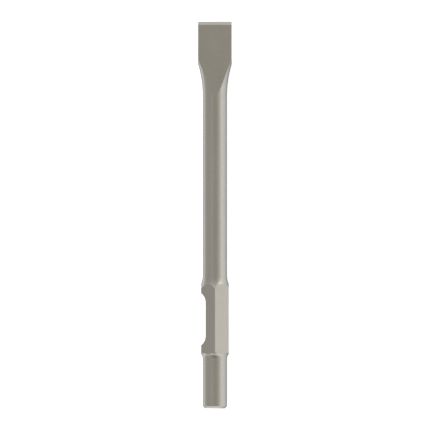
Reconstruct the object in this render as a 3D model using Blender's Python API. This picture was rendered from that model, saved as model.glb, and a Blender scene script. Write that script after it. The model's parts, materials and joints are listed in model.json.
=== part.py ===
"""Flat chisel for a breaker: a flared blade, a round shaft and a hexagonal shank with a retaining notch.

The chisel is one solid. It is turned along its own Y, with the cutting edge at +Y, and then cut to shape.
Its own X runs across the blade and its own Z through the blade's thickness.
It lies as it comes to rest: rolled to its right, until the blade's lower corner meets the ground
beside the lowest corner of the shank.
"""
import math

import bmesh
import bpy
from mathutils import Vector

# Overall sizes, in metres
LENGTH = 0.400
SHAFT_DIAMETER = 0.025

# Blade, with its lengths measured from the cutting edge
BLADE_WIDTH = 0.035
BLADE_LENGTH = 0.0766
BLADE_THICKNESS = 0.006
BEVEL_LENGTH = 0.0033
EDGE_THICKNESS = 0.0022
EDGE_CORNER_RADIUS = 0.0013
SIDE_ROUNDING = 0.0008
FLARE_LENGTH = 0.078
FLARE_RADIUS = 0.120

# Shank, with its places measured from the striking end
ACROSS_FLATS = 0.0286
TAIL_LENGTH = 0.058
HEXAGON_LENGTH = 0.0663
FRONT_FILLET_RADIUS = 0.027
REAR_FILLET_RADIUS = 0.0078
END_CHAMFER = 0.0023

# Retaining notch, milled straight across the left flat
NOTCH_CENTRE = 0.0923
NOTCH_FLOOR_LENGTH = 0.0346
NOTCH_DEPTH = 0.0047
NOTCH_END_RADIUS = 0.012

# Steel
STEEL_COLOUR = (0.42, 0.39, 0.35, 1.0)
STEEL_ROUGHNESS = 0.38

# Facets round the axis, how far a facet of an arc may lie inside it, and how far cutters reach past their work
ROUND_STEPS = 96
FACET_ERROR = 0.00002
OVERCUT = 0.004

# How close two corners are when they count as one, how short a sliver's edge is, and the turn of a sharp edge
SAME_PLACE = 0.000001
SLIVER_LENGTH = 0.00001
SHARP_TURN = 15.0

X = Vector((1.0, 0.0, 0.0))
Y = Vector((0.0, 1.0, 0.0))
Z = Vector((0.0, 0.0, 1.0))

SHAFT_RADIUS = SHAFT_DIAMETER / 2
HALF_WIDTH = BLADE_WIDTH / 2
HALF_THICKNESS = BLADE_THICKNESS / 2
FACE_SLOPE = (SHAFT_RADIUS - HALF_THICKNESS) / (BLADE_LENGTH - BEVEL_LENGTH)
BEVEL_SLOPE = (BLADE_THICKNESS - EDGE_THICKNESS) / 2 / BEVEL_LENGTH
FLAT_DISTANCE = ACROSS_FLATS / 2
CORNER_DISTANCE = ACROSS_FLATS / math.sqrt(3.0)
BLANK_RADIUS = max(math.hypot(HALF_WIDTH, SHAFT_RADIUS), CORNER_DISTANCE) + OVERCUT
REACH = BLANK_RADIUS + OVERCUT


def from_edge(distance):
    """Place along Y that lies this far behind the cutting edge."""
    return LENGTH / 2 - distance


def from_end(distance):
    """Place along Y that lies this far in front of the striking end."""
    return distance - LENGTH / 2


def arc(centre, radius, first, last):
    """Points along an arc of a flat outline, between two angles in degrees."""
    finest = math.degrees(2.0 * math.acos(1.0 - FACET_ERROR / radius))
    steps = math.ceil(abs(last - first) / finest)
    angles = [math.radians(first + (last - first) * step / steps) for step in range(steps + 1)]
    return [(centre[0] + radius * math.cos(angle), centre[1] + radius * math.sin(angle)) for angle in angles]


def swing(radius, rise):
    """Degrees that an arc turns through where it leaves a straight line smoothly and rises this far from it."""
    return math.degrees(math.acos(max(0.0, 1.0 - rise / radius)))


def run(radius, rise):
    """Length along the straight line that such an arc takes."""
    return radius * math.sin(math.radians(swing(radius, rise)))


def climb(place, radius, direction):
    """Outline of an arc that leaves the shaft at a place and climbs to the blank's radius, to +Y or -Y."""
    turn = swing(radius, BLANK_RADIUS - SHAFT_RADIUS)
    points = arc((place, SHAFT_RADIUS + radius), radius, -90.0, -90.0 + direction * turn)
    return points + [(points[-1][0], BLANK_RADIUS)]


def new_object(name, bm):
    """Object that holds a finished bmesh, with its faces turned outwards."""
    bmesh.ops.remove_doubles(bm, verts=bm.verts, dist=SAME_PLACE)
    bmesh.ops.recalc_face_normals(bm, faces=bm.faces)
    mesh = bpy.data.meshes.new(name)
    bm.to_mesh(mesh)
    bm.free()
    made = bpy.data.objects.new(name, mesh)
    bpy.context.scene.collection.objects.link(made)
    return made


def turned(name, outline, steps):
    """Solid spun round Y from an outline of (place along Y, distance from Y), which starts straight up."""
    bm = bmesh.new()
    verts = [bm.verts.new((0.0, place, distance)) for place, distance in outline]
    edges = [bm.edges.new(pair) for pair in zip(verts, verts[1:])]
    bmesh.ops.spin(bm, geom=verts + edges, axis=Y, angle=math.tau, steps=steps, use_merge=True)
    return new_object(name, bm)


def bar(name, outline, origin, across, up, length):
    """Straight bar with its outline drawn on two directions and pushed out equally to both sides."""
    along = across.cross(up)
    start = origin - along * (length / 2)
    bm = bmesh.new()
    face = bm.faces.new([bm.verts.new(start + across * a + up * b) for a, b in outline])
    pushed = bmesh.ops.extrude_face_region(bm, geom=[face])["geom"]
    far_end = [item for item in pushed if isinstance(item, bmesh.types.BMVert)]
    bmesh.ops.translate(bm, vec=along * length, verts=far_end)
    return new_object(name, bm)


def turned_blank():
    """Round blank: the flare that holds the blade, the shaft, the swelling that holds the hexagon, the tail."""
    rise = CORNER_DISTANCE - SHAFT_RADIUS
    flare = climb(from_edge(FLARE_LENGTH), FLARE_RADIUS, 1)
    front_start = from_end(TAIL_LENGTH + HEXAGON_LENGTH) + run(FRONT_FILLET_RADIUS, rise)
    rear_start = from_end(TAIL_LENGTH) - run(REAR_FILLET_RADIUS, rise)
    front = max(flare[-1][0], from_edge(0.0)) + OVERCUT
    outline = [(front, 0.0), (front, BLANK_RADIUS)]
    outline += reversed(flare)
    outline += climb(front_start, FRONT_FILLET_RADIUS, -1)
    outline += reversed(climb(rear_start, REAR_FILLET_RADIUS, 1))
    outline += [(from_end(END_CHAMFER), SHAFT_RADIUS)]
    outline += [(from_end(0.0), SHAFT_RADIUS - END_CHAMFER), (from_end(0.0), 0.0)]
    return turned("flat_chisel", outline, ROUND_STEPS)


def hexagon_die():
    """Ring with a six-sided bore that shaves the swelling to a hexagon, one of whose corners is straight up."""
    front = (from_edge(FLARE_LENGTH) + from_end(TAIL_LENGTH + HEXAGON_LENGTH)) / 2
    rear = from_end(-OVERCUT)
    bore = [(rear, CORNER_DISTANCE), (front, CORNER_DISTANCE)]
    return turned("hexagon_die", bore + [(front, 2 * REACH), (rear, 2 * REACH), bore[0]], 6)


def side_die():
    """Block with an open slot as wide as the blade, which trims its sides, its corners and its cutting edge."""
    back = from_edge(FLARE_LENGTH)
    front = from_edge(-REACH)
    corner = HALF_WIDTH - EDGE_CORNER_RADIUS
    slot = [(HALF_WIDTH, back)]
    slot += arc((corner, from_edge(EDGE_CORNER_RADIUS)), EDGE_CORNER_RADIUS, 0.0, 90.0)
    slot += arc((-corner, from_edge(EDGE_CORNER_RADIUS)), EDGE_CORNER_RADIUS, 90.0, 180.0)
    slot += [(-HALF_WIDTH, back)]
    block = [(-REACH, back), (-REACH, front), (REACH, front), (REACH, back)]
    return bar("side_die", slot + block, Vector(), X, Y, 2 * REACH)


def face_cutter(upward):
    """Wedge that grinds the blade's upper or lower face, with the bevel at the cutting edge."""
    front = from_edge(-2 * OVERCUT)
    back = from_edge(BLADE_LENGTH + OVERCUT)
    outline = [
        (front, EDGE_THICKNESS / 2 - BEVEL_SLOPE * 2 * OVERCUT),
        (from_edge(BEVEL_LENGTH), HALF_THICKNESS),
        (back, SHAFT_RADIUS + FACE_SLOPE * OVERCUT),
        (back, REACH),
        (front, REACH),
    ]
    return bar("face_cutter", outline, Vector(), Y, Z * upward, 2 * REACH)


def rounding_cutter(side, upward):
    """Hollow-nosed bar that rounds the edge between a face of the blade and one of its sides."""
    edge = Vector((side * HALF_WIDTH, from_edge(BEVEL_LENGTH), upward * HALF_THICKNESS))
    out_of_face = Vector((0.0, FACE_SLOPE, upward)).normalized()
    outline = [(-SIDE_ROUNDING, OVERCUT)]
    outline += arc((-SIDE_ROUNDING, -SIDE_ROUNDING), SIDE_ROUNDING, 90.0, 0.0)
    outline += [(OVERCUT, -SIDE_ROUNDING), (OVERCUT, OVERCUT)]
    return bar("rounding_cutter", outline, edge, X * side, out_of_face, 2 * BLADE_LENGTH)


def notch_cutter():
    """Bar that mills the retaining notch, with a straight floor and rounded ends."""
    floor = NOTCH_DEPTH - FLAT_DISTANCE
    front = from_end(NOTCH_CENTRE + NOTCH_FLOOR_LENGTH / 2)
    rear = from_end(NOTCH_CENTRE - NOTCH_FLOOR_LENGTH / 2)
    ends = floor - NOTCH_END_RADIUS
    outline = arc((ends, front), NOTCH_END_RADIUS, 90.0, 0.0)
    outline += arc((ends, rear), NOTCH_END_RADIUS, 0.0, -90.0)
    outline += [(-REACH, rear - NOTCH_END_RADIUS), (-REACH, front + NOTCH_END_RADIUS)]
    return bar("notch_cutter", outline, Vector(), X, Y, 2 * REACH)


def cut(blank, cutters):
    """Takes the cutters out of the blank one after the other, and removes them."""
    for cutter in cutters:
        modifier = blank.modifiers.new(cutter.name, "BOOLEAN")
        modifier.operation = "DIFFERENCE"
        modifier.solver = "EXACT"
        modifier.object = cutter
    depsgraph = bpy.context.evaluated_depsgraph_get()
    finished = bpy.data.meshes.new_from_object(blank.evaluated_get(depsgraph))
    finished.name = blank.name
    blank.modifiers.clear()
    blank.data = finished
    for cutter in cutters:
        bpy.data.objects.remove(cutter)


def shade(chisel):
    """Clears the slivers that the cuts leave, and shades the round forms smoothly with the real edges sharp."""
    bm = bmesh.new()
    bm.from_mesh(chisel.data)
    bmesh.ops.dissolve_degenerate(bm, edges=bm.edges, dist=SLIVER_LENGTH)
    bm.to_mesh(chisel.data)
    bm.free()
    chisel.data.shade_smooth()
    chisel.data.set_sharp_from_angle(angle=math.radians(SHARP_TURN))


def steel():
    """Bare steel with a satin finish."""
    material = bpy.data.materials.new("satin_steel")
    material.use_nodes = True
    shader = material.node_tree.nodes["Principled BSDF"]
    shader.inputs["Base Color"].default_value = STEEL_COLOUR
    shader.inputs["Metallic"].default_value = 1.0
    shader.inputs["Roughness"].default_value = STEEL_ROUGHNESS
    return material


def lay_down(chisel):
    """Rolls the chisel over the shank's lowest corner until the blade touches, and sets it on the ground."""
    right = [v.co for v in chisel.data.vertices if v.co.x > SIDE_ROUNDING]
    roll = min(math.atan2(point.z + CORNER_DISTANCE, point.x) for point in right)
    chisel.rotation_euler = (0.0, roll, 0.0)
    chisel.location = (0.0, 0.0, CORNER_DISTANCE * math.cos(roll))


for old in list(bpy.data.objects):
    bpy.data.objects.remove(old)

flat_chisel = turned_blank()
both = (1, -1)
cut(flat_chisel, [side_die()]
    + [face_cutter(upward) for upward in both]
    + [rounding_cutter(side, upward) for side in both for upward in both]
    + [hexagon_die(), notch_cutter()])
shade(flat_chisel)
flat_chisel.data.materials.append(steel())
lay_down(flat_chisel)
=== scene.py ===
"""Looks of a flat chisel for a breaker: bare satin steel, turned, ground and milled, on a pale lit table."""
import json
import math

import bpy
import numpy as np
from mathutils import Matrix, Vector


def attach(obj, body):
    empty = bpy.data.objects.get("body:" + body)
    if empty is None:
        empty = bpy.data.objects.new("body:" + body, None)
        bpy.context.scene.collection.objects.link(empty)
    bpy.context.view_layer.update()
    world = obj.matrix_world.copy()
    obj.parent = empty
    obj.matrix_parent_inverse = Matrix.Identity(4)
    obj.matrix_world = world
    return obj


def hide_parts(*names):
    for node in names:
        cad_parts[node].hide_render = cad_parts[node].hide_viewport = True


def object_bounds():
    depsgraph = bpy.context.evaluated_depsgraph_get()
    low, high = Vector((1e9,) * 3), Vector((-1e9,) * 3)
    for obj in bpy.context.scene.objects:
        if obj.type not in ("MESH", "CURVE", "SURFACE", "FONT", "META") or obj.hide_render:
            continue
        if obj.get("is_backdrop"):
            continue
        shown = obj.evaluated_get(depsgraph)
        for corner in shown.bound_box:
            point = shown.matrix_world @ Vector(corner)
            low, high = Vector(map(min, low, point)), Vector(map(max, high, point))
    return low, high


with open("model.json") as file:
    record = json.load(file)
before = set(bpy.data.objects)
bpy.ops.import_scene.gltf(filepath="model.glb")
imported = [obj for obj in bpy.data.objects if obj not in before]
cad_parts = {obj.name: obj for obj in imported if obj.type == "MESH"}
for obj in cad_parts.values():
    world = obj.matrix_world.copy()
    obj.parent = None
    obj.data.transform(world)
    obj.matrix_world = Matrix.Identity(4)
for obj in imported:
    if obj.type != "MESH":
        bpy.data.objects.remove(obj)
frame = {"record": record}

# The photograph: its size in pixels, and where the chisel's axis, cutting edge and striking end lie in it
PHOTO_SIZE = 430
AXIS_COLUMN = 214.875
CUTTING_EDGE_ROW = 21.66
STRIKING_END_ROW = 408.46

# Sizes of the chisel in metres, the same as the solid's
SHAFT_DIAMETER = 0.025
BLADE_WIDTH = 0.035
BLADE_LENGTH = 0.0766
BLADE_THICKNESS = 0.006
BEVEL_LENGTH = 0.0033
EDGE_THICKNESS = 0.0022
EDGE_CORNER_RADIUS = 0.0013
SIDE_ROUNDING = 0.0008
FLARE_LENGTH = 0.078
FLARE_RADIUS = 0.120
ACROSS_FLATS = 0.0286
TAIL_LENGTH = 0.058
HEXAGON_LENGTH = 0.0663
FRONT_FILLET_RADIUS = 0.027
REAR_FILLET_RADIUS = 0.0078
END_CHAMFER = 0.0023
NOTCH_CENTRE = 0.0923
NOTCH_FLOOR_LENGTH = 0.0346
NOTCH_DEPTH = 0.0047
NOTCH_END_RADIUS = 0.012

# Radii of the edges that the solid leaves sharp
CRISP_EDGE = 0.0001
BROKEN_EDGE = 0.00025
HEXAGON_EDGE = 0.0005

# The mesh: columns round half of the chisel, rows along it, and how strongly a turn of the surface draws them
HALF_COLUMNS = 112
COLUMN_PULL = 0.0022
WIDEST_ROWS = 0.006
ROW_PULL = 420.0
TRIAL_COLUMNS = 360
TRIAL_ROWS = 2000
TRIAL_ANGLES = 61
TURN_BLUR = 3
SOLVER_STEPS = 14

# Limits that keep the mesh's sums sound: an arc's run as a share of its radius, a ray's climb, a divisor
ARC_RUN_LIMIT = 0.95
RAY_CLIMB_LIMIT = 0.01
SMALLEST_DIVISOR = 1e-9

# The steel: colours, sizes of its marks, grain and clouds, and how much each changes the colour and roughness
DARKER_STEEL = (0.404, 0.394, 0.370, 1.0)
LIGHTER_STEEL = (0.456, 0.446, 0.420, 1.0)
WORN_STEEL = (0.54, 0.53, 0.51, 1.0)
GRAZING_TINT = (0.304, 0.322, 0.366, 1.0)
STEEL_ROUGHNESS = 0.277
ROUGHNESS_SPREAD = 0.11
MARK_WIDTH = 0.00025
MARK_LENGTH = 0.016
MARK_SHARE = 0.50
GRAIN_SIZE = 0.0003
GRAIN_SHARE = 0.60
CLOUD_WIDTH = 0.018
CLOUD_LENGTH = 0.036
CLOUD_SHARE = 0.50
WORN_SHARE = 0.50
WORN_POLISH = 0.06
NOISE_DETAIL = 3.0
NOISE_ROUGHNESS = 0.6

# Depths of the marks in micrometres
MICROMETRE = 1e-6
TURNED_DEPTH = 5.0
GROUND_DEPTH = 5.0
DRAWN_DEPTH = 3.5
MILLED_DEPTH = 7.0
GRAIN_DEPTH = 8.0

# The table: its painted glow (it is no lamp) fades from left to right between two places across the chisel;
# the dimmer glow on the right is painted shade that the chisel's right side mirrors
TABLE_SIZE = 3.0
TABLE_COLOUR = (0.85, 0.85, 0.85, 1.0)
TABLE_ROUGHNESS = 0.35
TABLE_GLOSS = 0.42
PAINTED_GLOW_FADES = (-0.05, 0.01)
PAINTED_GLOW_ON_LEFT = (1.013, 1.026, 1.051, 1.0)
PAINTED_SHADE_GLOW_ON_RIGHT = (0.635, 0.648, 0.673, 1.0)

# The studio's dome: walls, a ceiling that leans, and patches by azimuth, elevation and spread in degrees
COOL_WALLS = (1.300, 1.279, 1.275, 1.0)
WARM_WALLS = (1.418, 1.355, 1.246, 1.0)
COOL_CEILING = (0.592, 0.571, 0.538, 1.0)
WARM_CEILING = (0.534, 0.502, 0.442, 1.0)
WARMTH_GROWS = (-0.2, 0.6)
CEILING_EDGE = 0.760
CEILING_FADE = 0.474
CEILING_TO_RIGHT = 0.538
CEILING_TO_LEFT = 0.676
CEILING_TO_TIP = 0.173
CEILING_TO_TAIL = 0.230
TIP_LAMP = (45.0, 2.0, 30.0)
TIP_LAMP_POWER = 1.027
TAIL_LAMP = (-55.0, 2.0, 32.0)
TAIL_LAMP_POWER = 0.264
TAIL_GAP = (-68.0, 40.0, 36.0)
TAIL_GAP_DEPTH = 0.498

low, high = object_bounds()
LENGTH = high.y - low.y
places = {mount["name"]: mount for mount in frame["record"]["mounts"]}
AXIS_PLACE = Vector((0.0, 0.0, places["striking_end"]["pos_m"][2]))
FORWARD = -Vector(places["striking_end"]["axis"])
RIGHT = Vector(places["right_flat"]["axis"]).normalized()
OUT_OF_BLADE = RIGHT.cross(FORWARD)
OWN_AXES = Matrix((RIGHT, FORWARD, OUT_OF_BLADE)).transposed()

SHAFT_RADIUS = SHAFT_DIAMETER / 2
HALF_WIDTH = BLADE_WIDTH / 2
HALF_THICKNESS = BLADE_THICKNESS / 2
FACE_SLOPE = (SHAFT_RADIUS - HALF_THICKNESS) / (BLADE_LENGTH - BEVEL_LENGTH)
BEVEL_SLOPE = (BLADE_THICKNESS - EDGE_THICKNESS) / 2 / BEVEL_LENGTH
FLAT_DISTANCE = ACROSS_FLATS / 2
CORNER_DISTANCE = ACROSS_FLATS / math.sqrt(3.0)
CORNER_RISE = CORNER_DISTANCE - SHAFT_RADIUS
NOTCH_FLOOR_DISTANCE = FLAT_DISTANCE - NOTCH_DEPTH


def from_edge(distance):
    """Place along the chisel that lies this far behind the cutting edge."""
    return LENGTH / 2 - distance


def from_end(distance):
    """Place along the chisel that lies this far in front of the striking end."""
    return distance - LENGTH / 2


def run(radius, rise):
    """Length along the shaft that an arc takes to climb this far from it."""
    return math.sqrt(radius ** 2 - (radius - rise) ** 2)


FRONT_FILLET_START = from_end(TAIL_LENGTH + HEXAGON_LENGTH) + run(FRONT_FILLET_RADIUS, CORNER_RISE)
REAR_FILLET_START = from_end(TAIL_LENGTH) - run(REAR_FILLET_RADIUS, CORNER_RISE)
SHAFT_MIDDLE = (from_edge(FLARE_LENGTH) + FRONT_FILLET_START) / 2


class Surface:
    """How far points lie outside a surface, which way it faces there, and which finish it has."""

    FINISHES = ("turned", "ground", "drawn", "milled", "edge")

    def __init__(self, distance, normal, finish):
        self.distance = distance
        self.normal = np.stack(np.broadcast_arrays(*normal, distance)[:3], -1)
        if isinstance(finish, str):
            finish = np.array([name == finish for name in self.FINISHES], float)
        self.finish = np.broadcast_to(finish, distance.shape + (len(self.FINISHES),))

    def meet(self, other, radius):
        """What this surface and another leave together, with the edge between them rounded."""
        mine = self.distance + radius
        theirs = other.distance + radius
        facing = (self.normal * other.normal).sum(-1)
        sharpness = np.maximum(1.0 - facing ** 2, SMALLEST_DIVISOR)
        my_share = np.maximum(mine - facing * theirs, 0.0) / sharpness
        their_share = np.maximum(theirs - facing * mine, 0.0) / sharpness
        on_edge = (my_share > 0.0) & (their_share > 0.0)
        first = mine >= theirs
        my_share = np.where(on_edge, my_share, first)
        their_share = np.where(on_edge, their_share, ~first)
        normal = my_share[..., None] * self.normal + their_share[..., None] * other.normal
        normal /= np.linalg.norm(normal, axis=-1, keepdims=True)
        corner = np.sqrt(np.maximum(mine ** 2 + theirs ** 2 - 2.0 * facing * mine * theirs, 0.0) / sharpness)
        distance = np.where(on_edge, corner, np.maximum(mine, theirs)) - radius
        mix = (my_share / (my_share + their_share))[..., None]
        finish = mix * self.finish + (1.0 - mix) * other.finish
        # One in the middle of the rounding, and nothing where it ends
        in_middle = 4.0 * mix[..., 0] * (1.0 - mix[..., 0])
        finish[..., -1] += in_middle * (1.0 - facing)
        return Surface(distance, np.moveaxis(normal, -1, 0), finish)


def arc_rise(way, radius):
    """Height and slope of an arc that leaves the shaft smoothly, at a way along it."""
    way = np.clip(way, 0.0, ARC_RUN_LIMIT * radius)
    drop = np.sqrt(radius ** 2 - way ** 2)
    return radius - drop, way / drop


def turned_surface(x, y, z):
    """Round form: the flare under the blade, the shaft, the swelling under the hexagon, and the tail."""
    flare, flare_slope = arc_rise(y - from_edge(FLARE_LENGTH), FLARE_RADIUS)
    front, front_slope = arc_rise(FRONT_FILLET_START - y, FRONT_FILLET_RADIUS)
    rear, rear_slope = arc_rise(y - REAR_FILLET_START, REAR_FILLET_RADIUS)
    is_front = front < rear
    swelling = np.where(is_front, front, rear)
    slope = flare_slope + np.where(is_front, -front_slope, rear_slope)
    out = np.maximum(np.hypot(x, z), SMALLEST_DIVISOR)
    level = 1.0 / np.hypot(1.0, slope)
    body_distance = (out - SHAFT_RADIUS - flare - swelling) * level
    body = Surface(body_distance, (x / out * level, -slope * level, z / out * level), "turned")
    diagonal = math.sqrt(0.5)
    chamfer_distance = (out - (SHAFT_RADIUS - END_CHAMFER + y - from_end(0.0))) * diagonal
    chamfer = Surface(chamfer_distance, (x / out * diagonal, -diagonal, z / out * diagonal), "turned")
    end = Surface(from_end(0.0) - y, (0.0, -1.0, 0.0), "turned")
    return body.meet(chamfer, BROKEN_EDGE).meet(end, BROKEN_EDGE)


def blade_surface(x, y, z):
    """Ground form: two faces with bevels, between two sides with rounded edges and corners."""
    tip = Surface(y - from_edge(0.0), (0.0, 1.0, 0.0), "ground")
    sides = Surface(np.abs(x) - HALF_WIDTH, (np.sign(x), 0.0, 0.0), "ground")
    behind = from_edge(0.0) - y
    level = 1.0 / math.hypot(1.0, FACE_SLOPE)
    face_height = HALF_THICKNESS + FACE_SLOPE * (behind - BEVEL_LENGTH)
    face = Surface((z - face_height) * level, (0.0, FACE_SLOPE * level, level), "ground")
    level = 1.0 / math.hypot(1.0, BEVEL_SLOPE)
    bevel_height = EDGE_THICKNESS / 2 + BEVEL_SLOPE * behind
    bevel = Surface((z - bevel_height) * level, (0.0, BEVEL_SLOPE * level, level), "ground")
    rounding = np.interp(behind, (0.0, 2 * BEVEL_LENGTH), (BROKEN_EDGE, SIDE_ROUNDING))
    return sides.meet(tip, EDGE_CORNER_RADIUS).meet(face.meet(bevel, CRISP_EDGE), rounding)


def shank_surface(x, y, z):
    """Hexagon with one corner straight up, and the notch milled across its left flat."""
    flats = []
    for degrees in (0.0, 60.0, 120.0, 180.0):
        across = math.cos(math.radians(degrees))
        up = math.sin(math.radians(degrees))
        flats.append(Surface(x * across + z * up - FLAT_DISTANCE, (across, 0.0, up), "drawn"))
    shank = flats[0]
    for flat in flats[1:]:
        shank = shank.meet(flat, HEXAGON_EDGE)
    past_floor = np.abs(y - from_end(NOTCH_CENTRE)) - NOTCH_FLOOR_LENGTH / 2
    inward = x + NOTCH_FLOOR_DISTANCE + NOTCH_END_RADIUS
    side = np.maximum(past_floor, 0.0)
    on_floor = (side == 0.0) | (inward <= 0.0)
    reach = np.where(on_floor, np.maximum(inward, past_floor), np.hypot(side, inward))
    along = np.where(on_floor, (past_floor > inward) * 1.0, side / np.maximum(reach, SMALLEST_DIVISOR))
    across = np.sqrt(np.maximum(1.0 - along ** 2, 0.0))
    forward = np.sign(y - from_end(NOTCH_CENTRE))
    notch = Surface(NOTCH_END_RADIUS - reach, (-across, -along * forward, 0.0 * x), "milled")
    shank = shank.meet(notch, BROKEN_EDGE)
    shank.distance = np.where(y < SHAFT_MIDDLE, shank.distance, -ACROSS_FLATS)
    return shank


def chisel_surface(x, y, z):
    """The whole chisel's surface, above the plane midway between the blade's faces."""
    shaft_and_blade = turned_surface(x, y, z).meet(blade_surface(x, y, z), CRISP_EDGE)
    return shaft_and_blade.meet(shank_surface(x, y, z), CRISP_EDGE)


def section(y, angle):
    """Where rays from the axis leave the chisel: their lengths, and the surface there."""
    across = np.cos(angle)
    up = np.sin(angle)
    outside = np.full(np.broadcast(y, angle).shape, HALF_WIDTH + HALF_THICKNESS)
    inside = 0.0 * outside
    length = outside
    for _ in range(SOLVER_STEPS):
        surface = chisel_surface(length * across, y + 0.0 * length, length * up)
        is_out = surface.distance > 0.0
        outside = np.where(is_out, length, outside)
        inside = np.where(is_out, inside, length)
        slope = surface.normal[..., 0] * across + surface.normal[..., 2] * up
        guess = length - surface.distance / np.maximum(slope, RAY_CLIMB_LIMIT)
        length = np.where((guess > inside) & (guess < outside), guess, (inside + outside) / 2)
    return length, chisel_surface(length * across, y + 0.0 * length, length * up)


def row_places():
    """Places of the mesh's rows: wide apart on the shaft, closer by the root of how fast the form turns."""
    trial = np.linspace(from_end(0.0), from_edge(0.0), TRIAL_ROWS)
    gap = trial[1] - trial[0]
    surface = section(trial[:, None], np.linspace(0.0, math.pi, TRIAL_ANGLES))[1]
    swung = np.linalg.norm(np.diff(surface.normal, axis=0), axis=-1).mean(axis=1)
    swung = np.convolve(swung, np.full(TURN_BLUR, 1.0 / TURN_BLUR), "same")
    count = np.cumsum(gap / WIDEST_ROWS + ROW_PULL * np.sqrt(swung * gap))
    count = np.concatenate(([0.0], count))
    return np.interp(np.linspace(0.0, count[-1], math.ceil(count[-1]) + 1), count, trial)


def column_angles(y):
    """Angles of the columns in each row: even along the surface, and closer where it turns."""
    trial = np.linspace(0.0, math.pi, TRIAL_COLUMNS)
    length, surface = section(y, trial)
    points = np.stack((length * np.cos(trial), length * np.sin(trial)), -1)
    moved = np.linalg.norm(np.diff(points, axis=1), axis=-1)
    swung = np.linalg.norm(np.diff(surface.normal, axis=1), axis=-1)
    way = np.cumsum(moved + COLUMN_PULL * swung, axis=1)
    way = np.concatenate((np.zeros((len(y), 1)), way), axis=1)
    share = np.linspace(0.0, 1.0, HALF_COLUMNS + 1)
    return np.array([np.interp(share * one[-1], one, trial) for one in way])


def chisel_mesh():
    """Fine mesh of the chisel, in the frame's place, with its own normals and the finish of each point."""
    y = row_places()[:, None]
    angle = column_angles(y)
    length, surface = section(y, angle)
    upper = np.stack((length * np.cos(angle), y + 0.0 * length, length * np.sin(angle)), -1)
    upper[:, (0, -1), 2] = 0.0
    flip = np.array((1.0, 1.0, -1.0))
    points = np.concatenate((upper, upper[:, -2:0:-1] * flip), axis=1)
    normals = np.concatenate((surface.normal, surface.normal[:, -2:0:-1] * flip), axis=1)
    finish = np.concatenate((surface.finish, surface.finish[:, -2:0:-1]), axis=1)

    rows, columns = points.shape[:2]
    number = np.arange(rows * columns).reshape(rows, columns)
    following = np.roll(number, -1, axis=1)
    quads = np.stack((number[:-1], number[1:], following[1:], following[:-1]), -1).reshape(-1, 4)
    faces = quads.tolist() + [number[0].tolist(), number[-1, ::-1].tolist()]

    axes = np.array(OWN_AXES)
    mesh = bpy.data.meshes.new("steel_chisel")
    mesh.from_pydata(points.reshape(-1, 3) @ axes.T + np.array(AXIS_PLACE), [], faces)
    mesh.shade_smooth()
    mesh.normals_split_custom_set_from_vertices(normals.reshape(-1, 3) @ axes.T)
    for name, values in zip(Surface.FINISHES, np.moveaxis(finish, -1, 0)):
        mesh.attributes.new(name, "FLOAT", "POINT").data.foreach_set("value", values.ravel())
    return mesh


class Shading:
    """The nodes of one material or of the world."""

    def __init__(self, owner):
        owner.use_nodes = True
        self.tree = owner.node_tree
        self.tree.nodes.clear()

    def node(self, kind, settings, inputs, output=0):
        """Adds a node with its settings and its sockets' values or links, and gives one of its outputs."""
        made = self.tree.nodes.new(kind)
        for name, value in settings.items():
            setattr(made, name, value)
        for name, value in inputs.items():
            if isinstance(value, Socket):
                self.tree.links.new(value.link, made.inputs[name])
            else:
                made.inputs[name].default_value = value
        return Socket(self, made.outputs[output]) if made.outputs else None


class Socket:
    """A value in a node tree: plain arithmetic on it adds Math nodes."""

    def __init__(self, shading, link):
        self.shading = shading
        self.link = link

    def math(self, operation, first, second=0.0):
        return self.shading.node("ShaderNodeMath", {"operation": operation}, {0: first, 1: second})

    def __add__(self, other):
        return self.math("ADD", self, other)

    def __radd__(self, other):
        return self.math("ADD", other, self)

    def __sub__(self, other):
        return self.math("SUBTRACT", self, other)

    def __rsub__(self, other):
        return self.math("SUBTRACT", other, self)

    def __mul__(self, other):
        return self.math("MULTIPLY", self, other)

    def __rmul__(self, other):
        return self.math("MULTIPLY", other, self)

    def __truediv__(self, other):
        return self.math("DIVIDE", self, other)

    def __rtruediv__(self, other):
        return self.math("DIVIDE", other, self)

    def __pow__(self, other):
        return self.math("POWER", self, other)

    def larger(self, other):
        return self.math("MAXIMUM", self, other)

    def between(self, start, stop):
        """Smooth passage from nothing to one, while this value goes from start to stop."""
        inputs = {"Value": self, "From Min": start, "From Max": stop, "To Min": 0.0, "To Max": 1.0}
        return self.shading.node("ShaderNodeMapRange", {"interpolation_type": "SMOOTHSTEP"}, inputs)


def parts_of(shading, vector):
    """The three parts of a vector."""
    return [shading.node("ShaderNodeSeparateXYZ", {}, {0: vector}, part) for part in range(3)]


def soft_patch(shading, direction, azimuth, elevation, spread):
    """One in the middle of a round patch of the studio's dome, and nothing beyond its spread."""
    level = math.cos(math.radians(elevation))
    middle = (level * math.cos(math.radians(azimuth)), level * math.sin(math.radians(azimuth)),
              math.sin(math.radians(elevation)))
    inputs = {0: direction, 1: middle}
    facing = shading.node("ShaderNodeVectorMath", {"operation": "DOT_PRODUCT"}, inputs, "Value")
    return facing.between(math.cos(math.radians(spread)), 1.0)


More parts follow.
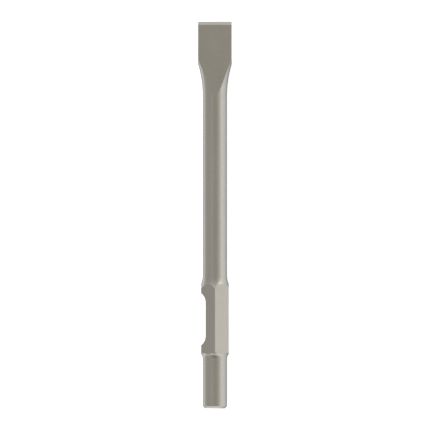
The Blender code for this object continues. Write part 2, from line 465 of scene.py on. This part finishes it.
def studio_dome():
    """Soft light all round: bright walls, a dim ceiling, a lamp off each end and a dark gap over the tail."""
    world = bpy.data.worlds.new("studio_dome")
    bpy.context.scene.world = world
    shading = Shading(world)
    direction = shading.node("ShaderNodeTexCoord", {}, {}, "Generated")
    x, y, z = parts_of(shading, direction)
    sideways = x.larger(0.0) * CEILING_TO_RIGHT + (0.0 - x).larger(0.0) * CEILING_TO_LEFT
    lengthwise = y.larger(0.0) * CEILING_TO_TIP + (0.0 - y).larger(0.0) * CEILING_TO_TAIL
    height = z + sideways + lengthwise
    ceiling = height.between(CEILING_EDGE - CEILING_FADE, CEILING_EDGE + CEILING_FADE)
    to_right = x.between(*WARMTH_GROWS)
    wall_colour = blend_colours(shading, to_right, COOL_WALLS, WARM_WALLS)
    ceiling_colour = blend_colours(shading, to_right, COOL_CEILING, WARM_CEILING)
    colour = blend_colours(shading, ceiling, wall_colour, ceiling_colour)
    lamps = (soft_patch(shading, direction, *TIP_LAMP) * TIP_LAMP_POWER
             + soft_patch(shading, direction, *TAIL_LAMP) * TAIL_LAMP_POWER
             - soft_patch(shading, direction, *TAIL_GAP) * TAIL_GAP_DEPTH)
    light = shading.node("ShaderNodeBackground", {}, {"Color": colour, "Strength": 1.0 + lamps})
    shading.node("ShaderNodeOutputWorld", {}, {"Surface": light})


def pale_table():
    """Pale table with a painted glow from inside, though it is no lamp: more on the chisel's left, so that
    the chisel lies on white, and dimmer on its right as painted shade that the chisel's right side mirrors.
    """
    material = bpy.data.materials.new("pale_table")
    shading = Shading(material)
    point = shading.node("ShaderNodeTexCoord", {}, {}, "Object")
    # Painted light: the table's glow, dimmer to the right as painted shade mirrored in the chisel's right
    # side
    to_right = parts_of(shading, point)[0].between(*PAINTED_GLOW_FADES)
    painted_glow = blend_colours(shading, to_right, PAINTED_GLOW_ON_LEFT, PAINTED_SHADE_GLOW_ON_RIGHT)
    shader = shading.node("ShaderNodeBsdfPrincipled", {}, {
        "Base Color": TABLE_COLOUR, "Roughness": TABLE_ROUGHNESS, "Specular IOR Level": TABLE_GLOSS,
        "Emission Color": painted_glow, "Emission Strength": 1.0})
    shading.node("ShaderNodeOutputMaterial", {}, {"Surface": shader})
    return material


def lit_table():
    """Level table under the chisel."""
    mesh = bpy.data.meshes.new("lit_table")
    corners = [(-TABLE_SIZE, -TABLE_SIZE, 0.0), (TABLE_SIZE, -TABLE_SIZE, 0.0), (TABLE_SIZE, TABLE_SIZE, 0.0),
               (-TABLE_SIZE, TABLE_SIZE, 0.0)]
    mesh.from_pydata(corners, [], [(0, 1, 2, 3)])
    mesh.materials.append(pale_table())
    table = bpy.data.objects.new("lit_table", mesh)
    bpy.context.scene.collection.objects.link(table)
    table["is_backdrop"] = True


def uneven(shading, x, y, z):
    """Noise from -1 to 1, stretched by how fast its three coordinates change."""
    place = shading.node("ShaderNodeCombineXYZ", {}, {"X": x, "Y": y, "Z": z})
    noise = shading.node("ShaderNodeTexNoise", {}, {
        "Vector": place, "Scale": 1.0, "Detail": NOISE_DETAIL, "Roughness": NOISE_ROUGHNESS})
    return noise * 2.0 - 1.0


def blend_colours(shading, factor, first, second):
    """Passes from the first colour to the second, while the factor goes from nothing to one."""
    colour_output = 2
    inputs = {"Factor": factor, "A": first, "B": second}
    return shading.node("ShaderNodeMix", {"data_type": "RGBA"}, inputs, colour_output)


def satin_steel():
    """Bare steel: fine rings where it was turned, fine lines elsewhere, a blasted grain and worn edges."""
    material = bpy.data.materials.new("bare_satin_steel")
    shading = Shading(material)
    point = shading.node("ShaderNodeTexCoord", {}, {}, "Object")
    own_point = shading.node("ShaderNodeMapping", {"vector_type": "TEXTURE"}, {
        "Vector": point, "Location": AXIS_PLACE, "Rotation": OWN_AXES.to_euler()})
    x, y, z = parts_of(shading, own_point)
    turned, ground, drawn, milled, edge = [
        shading.node("ShaderNodeAttribute", {"attribute_name": name}, {}, "Fac") for name in Surface.FINISHES]

    out = (x * x + z * z) ** 0.5
    across = uneven(shading, x / MARK_LENGTH, (y + turned * out) / MARK_WIDTH, z / MARK_LENGTH)
    along = uneven(shading, x / MARK_WIDTH, y / MARK_LENGTH, z / MARK_WIDTH)
    marks = across * (1.0 - drawn) + along * drawn
    grain = uneven(shading, x / GRAIN_SIZE, y / GRAIN_SIZE, z / GRAIN_SIZE)
    clouds = uneven(shading, x / CLOUD_WIDTH, y / CLOUD_LENGTH, z / CLOUD_WIDTH)
    worn = (edge * (1.0 + grain + clouds)).larger(0.0)

    depth = turned * TURNED_DEPTH + ground * GROUND_DEPTH + drawn * DRAWN_DEPTH + milled * MILLED_DEPTH
    height = marks * depth + grain * GRAIN_DEPTH
    bump = shading.node("ShaderNodeBump", {}, {"Height": height, "Distance": MICROMETRE, "Strength": 1.0})
    unevenness = clouds * CLOUD_SHARE + marks * MARK_SHARE + grain * GRAIN_SHARE
    colour = blend_colours(shading, 0.5 + unevenness, DARKER_STEEL, LIGHTER_STEEL)
    colour = blend_colours(shading, worn * WORN_SHARE, colour, WORN_STEEL)
    roughness = STEEL_ROUGHNESS + unevenness * ROUGHNESS_SPREAD - worn * WORN_POLISH
    shader = shading.node("ShaderNodeBsdfPrincipled", {}, {
        "Base Color": colour, "Roughness": roughness, "Metallic": 1.0, "Normal": bump,
        "Specular Tint": GRAZING_TINT})
    shading.node("ShaderNodeOutputMaterial", {}, {"Surface": shader})
    return material


def camera_over_blade():
    """Camera that looks straight at the blade's flat side, with the chisel where the photograph has it."""
    camera = bpy.data.objects.new("camera", bpy.data.cameras.new("camera"))
    bpy.context.scene.collection.objects.link(camera)
    camera.data.type = "ORTHO"
    pixel = LENGTH / (STRIKING_END_ROW - CUTTING_EDGE_ROW)
    camera.data.ortho_scale = PHOTO_SIZE * pixel
    middle_row = (CUTTING_EDGE_ROW + STRIKING_END_ROW) / 2
    beside = RIGHT * (PHOTO_SIZE / 2 - AXIS_COLUMN) * pixel + FORWARD * (middle_row - PHOTO_SIZE / 2) * pixel
    camera.matrix_world = Matrix.Translation(AXIS_PLACE + beside + OUT_OF_BLADE) @ OWN_AXES.to_4x4()
    return camera


chisel = bpy.data.objects.new("steel_chisel", chisel_mesh())
bpy.context.scene.collection.objects.link(chisel)
chisel.data.materials.append(satin_steel())
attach(chisel, "root")
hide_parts("flat_chisel")

lit_table()
studio_dome()
bpy.context.scene.camera = camera_over_blade()
bpy.context.scene.view_settings.view_transform = "Standard"

low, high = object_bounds()
